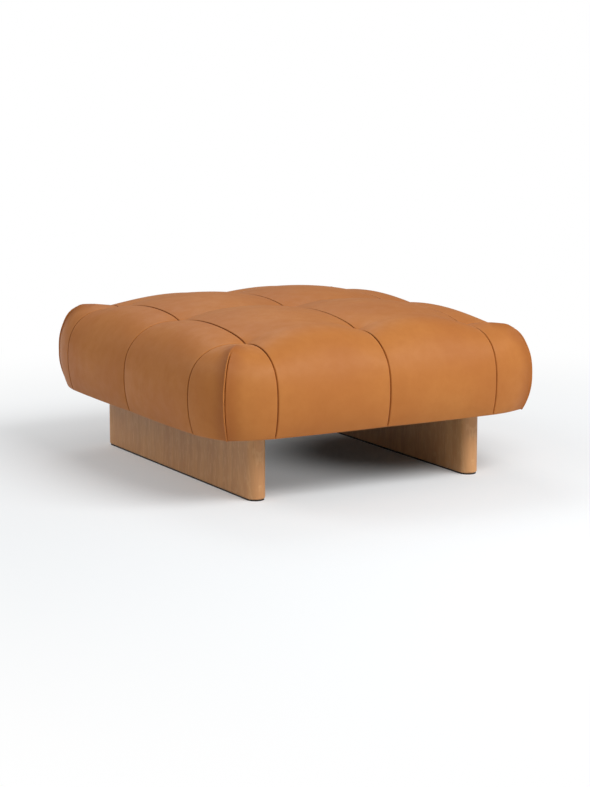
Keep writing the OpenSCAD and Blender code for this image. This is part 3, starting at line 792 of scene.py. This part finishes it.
def noise(tree, vector, scale, detail=2.0, rough=0.5, distortion=0.0):
    """A noise value around 0.5."""
    return add(tree, "TexNoise", {"Vector": vector, "Scale": scale, "Detail": detail, "Roughness": rough,
                                  "Distortion": distortion}).outputs["Fac"]


def ranged(tree, value, source, target, smooth=False):
    """A value carried from one range to another, and held inside it."""
    ends = {"From Min": source[0], "From Max": source[1], "To Min": target[0], "To Max": target[1]}
    return add(tree, "MapRange", {"Value": value, **ends},
               interpolation_type="SMOOTHSTEP" if smooth else "LINEAR").outputs["Result"]


def sums(tree, operation, a, b):
    """Arithmetic on two values."""
    return add(tree, "Math", {0: a, 1: b}, operation=operation).outputs[0]


def mixed(tree, share, a, b):
    """Two colours mixed by a share."""
    return add(tree, "Mix", {0: share, 6: a, 7: b}, data_type="RGBA").outputs[2]


def bumped(tree, height, strength, distance, before=None):
    """A bump from a height, on top of an earlier one."""
    inputs = {"Height": height, "Strength": strength, "Distance": distance}
    if before is not None:
        inputs["Normal"] = before
    return add(tree, "Bump", inputs).outputs["Normal"]


def leather():
    """Smooth cognac leather: soft colour drift, fine pores, painted shade in its seams and near its corner
    folds, and a painted highlight beside its seams.
    """
    material, tree, shader = fresh("leather_cognac")
    at = place(tree)
    seam = add(tree, "Attribute", {}, attribute_name=SEAM_SHADE_AND_HIGHLIGHT_GAP).outputs["Fac"]
    drift = noise(tree, at, 4.5, detail=3)
    mottle = noise(tree, at, 38, detail=4, rough=0.6)
    tone = mixed(tree, ranged(tree, drift, (0.3, 0.7), (0, 1), smooth=True), LEATHER_DEEP, LEATHER_LIGHT)
    tone = mixed(tree, ranged(tree, mottle, (0.35, 0.7), (0, 0.35)), tone, LEATHER_MOTTLE)
    fold = add(tree, "Attribute", {}, attribute_name=FOLD_SHADE_GAP).outputs["Fac"]
    # Painted shade near the corner folds, where the folds cast shadow on the cover
    tone = mixed(tree, ranged(tree, fold, (0.002, 0.045), (0.5, 0), smooth=True), tone, LEATHER_FOLD_SHADE)
    # Painted shade: a dark line in each seam groove
    near = ranged(tree, seam, (0.0003, 0.0013), (0.72, 0), smooth=True)
    # Painted highlight: a lighter band two to five millimetres beside each seam, on its lip
    seam_highlight = ranged(tree, seam, (0.002, 0.005), (0.1, 0), smooth=True)
    tone = mixed(tree, seam_highlight, tone, LEATHER_SEAM_HIGHLIGHT)
    tone = mixed(tree, near, tone, LEATHER_SEAM_SHADE)
    tree.links.new(tone, shader.inputs["Base Color"])
    tree.links.new(ranged(tree, mottle, (0.3, 0.7), (0.5, 0.6)), shader.inputs["Roughness"])
    pores = add(tree, "TexVoronoi", {"Vector": at, "Scale": 620.0}, feature="SMOOTH_F1").outputs["Distance"]
    grain = sums(tree, "ADD", pores, noise(tree, at, 260, detail=3))
    soft = bumped(tree, noise(tree, at, 20), strength=0.25, distance=0.004)
    skin = bumped(tree, grain, strength=0.16, distance=0.0005, before=soft)
    tree.links.new(skin, shader.inputs["Normal"])
    shader.inputs["Specular IOR Level"].default_value = 0.22
    return material


def oak():
    """Oiled oak staves that stand upright: long grain, open pores, staves of slightly different tone."""
    material, tree, shader = fresh("oak_oiled")
    at = place(tree)
    split = add(tree, "SeparateXYZ", {"Vector": at}).outputs
    along = sums(tree, "DIVIDE", split["Y"], STAVE_W)
    stave = add(tree, "Math", {0: along}, operation="FLOOR").outputs[0]
    own = add(tree, "TexWhiteNoise", {"W": stave}, noise_dimensions="1D").outputs
    moved = add(tree, "VectorMath", {0: at, 1: own["Color"]}, operation="ADD").outputs["Vector"]
    upright = scaled(tree, moved, (1, 1, 0.11))
    within = sums(tree, "SUBTRACT", sums(tree, "SUBTRACT", along, stave), 0.5)
    across = sums(tree, "MULTIPLY", within, STAVE_W)
    rings = sums(tree, "MULTIPLY", split["Z"], RING_SQUASH)
    rings = sums(tree, "ADD", rings, ranged(tree, own["Value"], (0, 1), (-RING_SHIFT, RING_SHIFT / 2)))
    heart = add(tree, "CombineXYZ", {"Y": across, "Z": rings}).outputs["Vector"]
    arcs = add(tree, "TexWave", {"Vector": heart, "Scale": 13.0, "Distortion": 9.0, "Detail": 3.0,
                                 "Detail Scale": 9.0}, wave_type="RINGS", rings_direction="X").outputs["Fac"]
    figure = noise(tree, upright, 30, detail=4, rough=0.55, distortion=0.6)
    fine = noise(tree, upright, 230, detail=3, rough=0.6)
    pores = noise(tree, scaled(tree, moved, (1, 1, 0.03)), 700, detail=1)
    tone = mixed(tree, ranged(tree, figure, (0.3, 0.7), (0, 1), smooth=True), OAK_DARK, OAK_LIGHT)
    tone = mixed(tree, ranged(tree, arcs, (0.7, 1), (0, 0.35), smooth=True), tone, OAK_PALE)
    tone = mixed(tree, ranged(tree, own["Value"], (0, 1), (0, 0.25)), tone, OAK_RED)
    tone = mixed(tree, ranged(tree, fine, (0.45, 0.75), (0, 0.3)), tone, OAK_DARK)
    tone = mixed(tree, ranged(tree, pores, (0.62, 0.72), (0, 0.3)), tone, OAK_PORE)
    tree.links.new(tone, shader.inputs["Base Color"])
    tree.links.new(ranged(tree, fine, (0.3, 0.7), (0.42, 0.56)), shader.inputs["Roughness"])
    relief = sums(tree, "SUBTRACT", fine, pores)
    tree.links.new(bumped(tree, relief, strength=0.2, distance=0.0006), shader.inputs["Normal"])
    return material


def plain_wood(name, light, dark, stretch, scale):
    """Sawn timber or plywood with grain along one axis."""
    material, tree, shader = fresh(name)
    at = place(tree, stretch)
    grain = noise(tree, at, scale, detail=4, rough=0.6, distortion=0.6)
    fine = noise(tree, at, 6 * scale)
    tone = mixed(tree, ranged(tree, grain, (0.35, 0.65), (0, 1)), dark, light)
    tone = mixed(tree, ranged(tree, fine, (0.45, 0.7), (0, 0.3)), tone, dark)
    tree.links.new(tone, shader.inputs["Base Color"])
    tree.links.new(ranged(tree, fine, (0.3, 0.7), (0.6, 0.75)), shader.inputs["Roughness"])
    tree.links.new(bumped(tree, fine, strength=0.25, distance=0.0004), shader.inputs["Normal"])
    return material


def speckled(name, light, dark, scale, rough, depth, metal=0.0):
    """A finish with a fine irregular surface: moulded plastic, foam, plated steel or twisted cord."""
    material, tree, shader = fresh(name)
    at = place(tree)
    grain = noise(tree, at, scale, detail=3)
    cloud = noise(tree, at, scale / 12)
    tone = mixed(tree, ranged(tree, cloud, (0.3, 0.7), (0, 1)), dark, light)
    tree.links.new(tone, shader.inputs["Base Color"])
    spread = (rough - ROUGH_SPREAD, rough + ROUGH_SPREAD)
    tree.links.new(ranged(tree, grain, (0.3, 0.7), spread), shader.inputs["Roughness"])
    tree.links.new(bumped(tree, grain, strength=0.3, distance=depth), shader.inputs["Normal"])
    shader.inputs["Metallic"].default_value = metal
    return material


def woven_black():
    """Thin black cloth with a plain weave."""
    material, tree, shader = fresh("dust_cloth_black")
    at = place(tree)
    threads = {"Vector": at, "Scale": 120.0, "Distortion": 0.6}
    warp, weft = [add(tree, "TexWave", threads, bands_direction=way).outputs["Fac"] for way in "XY"]
    weave = sums(tree, "MAXIMUM", warp, weft)
    tree.links.new(mixed(tree, weave, CLOTH_DARK, CLOTH_LIGHT), shader.inputs["Base Color"])
    tree.links.new(ranged(tree, weave, (0, 1), (0.9, 0.75)), shader.inputs["Roughness"])
    tree.links.new(bumped(tree, weave, strength=0.4, distance=0.0003), shader.inputs["Normal"])
    return material


def finish_nodes(hide):
    """Gives every CAD node the finish that the record's material slot names."""
    made = {
        "leather": hide,
        "oak": oak(),
        "dust_cloth": woven_black(),
        "plywood": plain_wood("plywood_birch", PLY_LIGHT, PLY_DARK, (1, 0.1, 1), 45),
        "dowel_beech": plain_wood("beech_turned", PINE_LIGHT, PINE_DARK, (0.2, 0.2, 1), 90),
        "foam": speckled("foam_cut", FOAM_LIGHT, FOAM_DARK, 700, 0.85, 0.0006),
        "wadding": speckled("wadding_loose", FOAM_LIGHT, FOAM_DARK, 300, 0.9, 0.001),
        "cord": speckled("cord_twisted", CLOTH_LIGHT, CLOTH_DARK, 900, 0.8, 0.0004),
        "button_plastic": speckled("plastic_button", BLACK_LIGHT, BLACK_DARK, 800, 0.45, 0.0001),
        "glide_plastic": speckled("plastic_glide", BLACK_LIGHT, BLACK_DARK, 800, 0.5, 0.0001),
        "steel": speckled("steel_zinc", STEEL_LIGHT, STEEL_DARK, 500, 0.38, 0.00005, metal=1.0),
    }
    pine_x = plain_wood("pine_across", PINE_LIGHT, PINE_DARK, (0.1, 1, 1), 60)
    pine_y = plain_wood("pine_deep", PINE_LIGHT, PINE_DARK, (1, 0.1, 1), 60)
    for part in frame["record"]["subparts"]:
        low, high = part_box(part["node"])
        size = high - low
        finish = made.get(part["material_slot"], pine_x if size.x > size.y else pine_y)
        for slot in frame["nodes"][part["node"]].material_slots:
            slot.material = finish
    return made


def floor_finish():
    """Pale matt floor that keeps the seat's shadow, glows for the camera round the seat but not beneath it,
    so the floor there is darker as painted shade, and runs out to plain white far from it.
    """
    material, tree, shader = fresh("floor_pale")
    shader.inputs["Base Color"].default_value = FLOOR
    shader.inputs["Roughness"].default_value = 0.9
    shader.inputs["Specular IOR Level"].default_value = 0.1
    light = add(tree, "LightPath", {}).outputs
    seen = sums(tree, "MAXIMUM", light["Is Camera Ray"], light["Is Glossy Ray"])
    away, from_seat_shade = distance_to(tree, FLOOR_MIDDLE), distance_to(tree, SEAT_SHADE_MIDDLE)
    # The glow is left out beneath the seat, so the floor there is darker as painted shade
    lift = ranged(tree, from_seat_shade, (SEAT_SHADE_NEAR, SEAT_SHADE_FAR), (0, FLOOR_GLOW), smooth=True)
    lift = sums(tree, "MULTIPLY", seen, lift)
    glow = add(tree, "Emission", {"Strength": lift}).outputs["Emission"]
    near = add(tree, "AddShader", {0: shader.outputs["BSDF"], 1: glow}).outputs["Shader"]
    far = ranged(tree, away, (FLOOR_NEAR, FLOOR_FAR), (0, 1), smooth=True)
    far = sums(tree, "MULTIPLY", seen, far)
    white = add(tree, "Emission", {"Strength": 1.0}).outputs["Emission"]
    both = add(tree, "MixShader", {0: far, 1: near, 2: white}).outputs["Shader"]
    tree.links.new(both, tree.nodes["Material Output"].inputs["Surface"])
    return material


def floor():
    """The floor, a wide sheet at the glides' underside."""
    mesh = bpy.data.meshes.new("floor")
    mesh.from_pydata([(x * FLOOR_HALF, y * FLOOR_HALF, 0) for x, y in ((-1, -1), (1, -1), (1, 1), (-1, 1))],
                     [], [(0, 1, 2, 3)])
    piece = link(bpy.data.objects.new("floor", mesh))
    mesh.materials.append(floor_finish())


def sky():
    """Even light from all round, white where the camera sees past the floor."""
    world = bpy.data.worlds.new("studio")
    world.use_nodes = True
    bpy.context.scene.world = world
    tree = world.node_tree
    light = add(tree, "LightPath", {}).outputs
    seen = sums(tree, "MAXIMUM", light["Is Camera Ray"], light["Is Transmission Ray"])
    strength = ranged(tree, seen, (0, 1), (SKY_LIGHT, 1))
    back = tree.nodes["Background"]
    back.inputs["Color"].default_value = (1, 1, 1, 1)
    tree.links.new(strength, back.inputs["Strength"])


def lamp(name, azimuth, elevation, width, height, power):
    """A soft rectangular lamp that faces the seat; azimuth 0 is in front of it, 90 on its right."""
    data = bpy.data.lights.new(name, "AREA")
    data.shape = "RECTANGLE"
    data.size, data.size_y, data.energy = width, height, power
    piece = link(bpy.data.objects.new(name, data))
    a, e = radians(azimuth), radians(elevation)
    way = Vector((sin(a) * cos(e), -cos(a) * cos(e), sin(e)))
    piece.location = Vector((0, 0, SEAT_MIDDLE)) + way * LAMP_DISTANCE
    piece.rotation_euler = (-way).to_track_quat("-Z", "Y").to_euler()


def camera():
    """The camera, where the photograph was taken from."""
    data = bpy.data.cameras.new("camera")
    data.sensor_fit = "VERTICAL"
    data.sensor_height = CAMERA_SENSOR
    data.lens = CAMERA_LENS
    data.clip_end = CAMERA_FAR
    piece = link(bpy.data.objects.new("camera", data))
    piece.location = CAMERA_AT
    a, e = CAMERA_AZIMUTH, CAMERA_ELEVATION
    aim = Vector((-sin(a) * cos(e), cos(a) * cos(e), -sin(e)))
    piece.rotation_euler = aim.to_track_quat("-Z", "Y").to_euler()
    bpy.context.scene.camera = piece


hide = leather()
finishes = finish_nodes(hide)
seat_cushion().data.materials.append(hide)
seam_folds().data.materials.append(hide)
underside_cloth().data.materials.append(finishes["dust_cloth"])
floor()
sky()
for name, values in LAMPS.items():
    lamp(name, *values)
camera()
bpy.context.scene.view_settings.view_transform = "Standard"
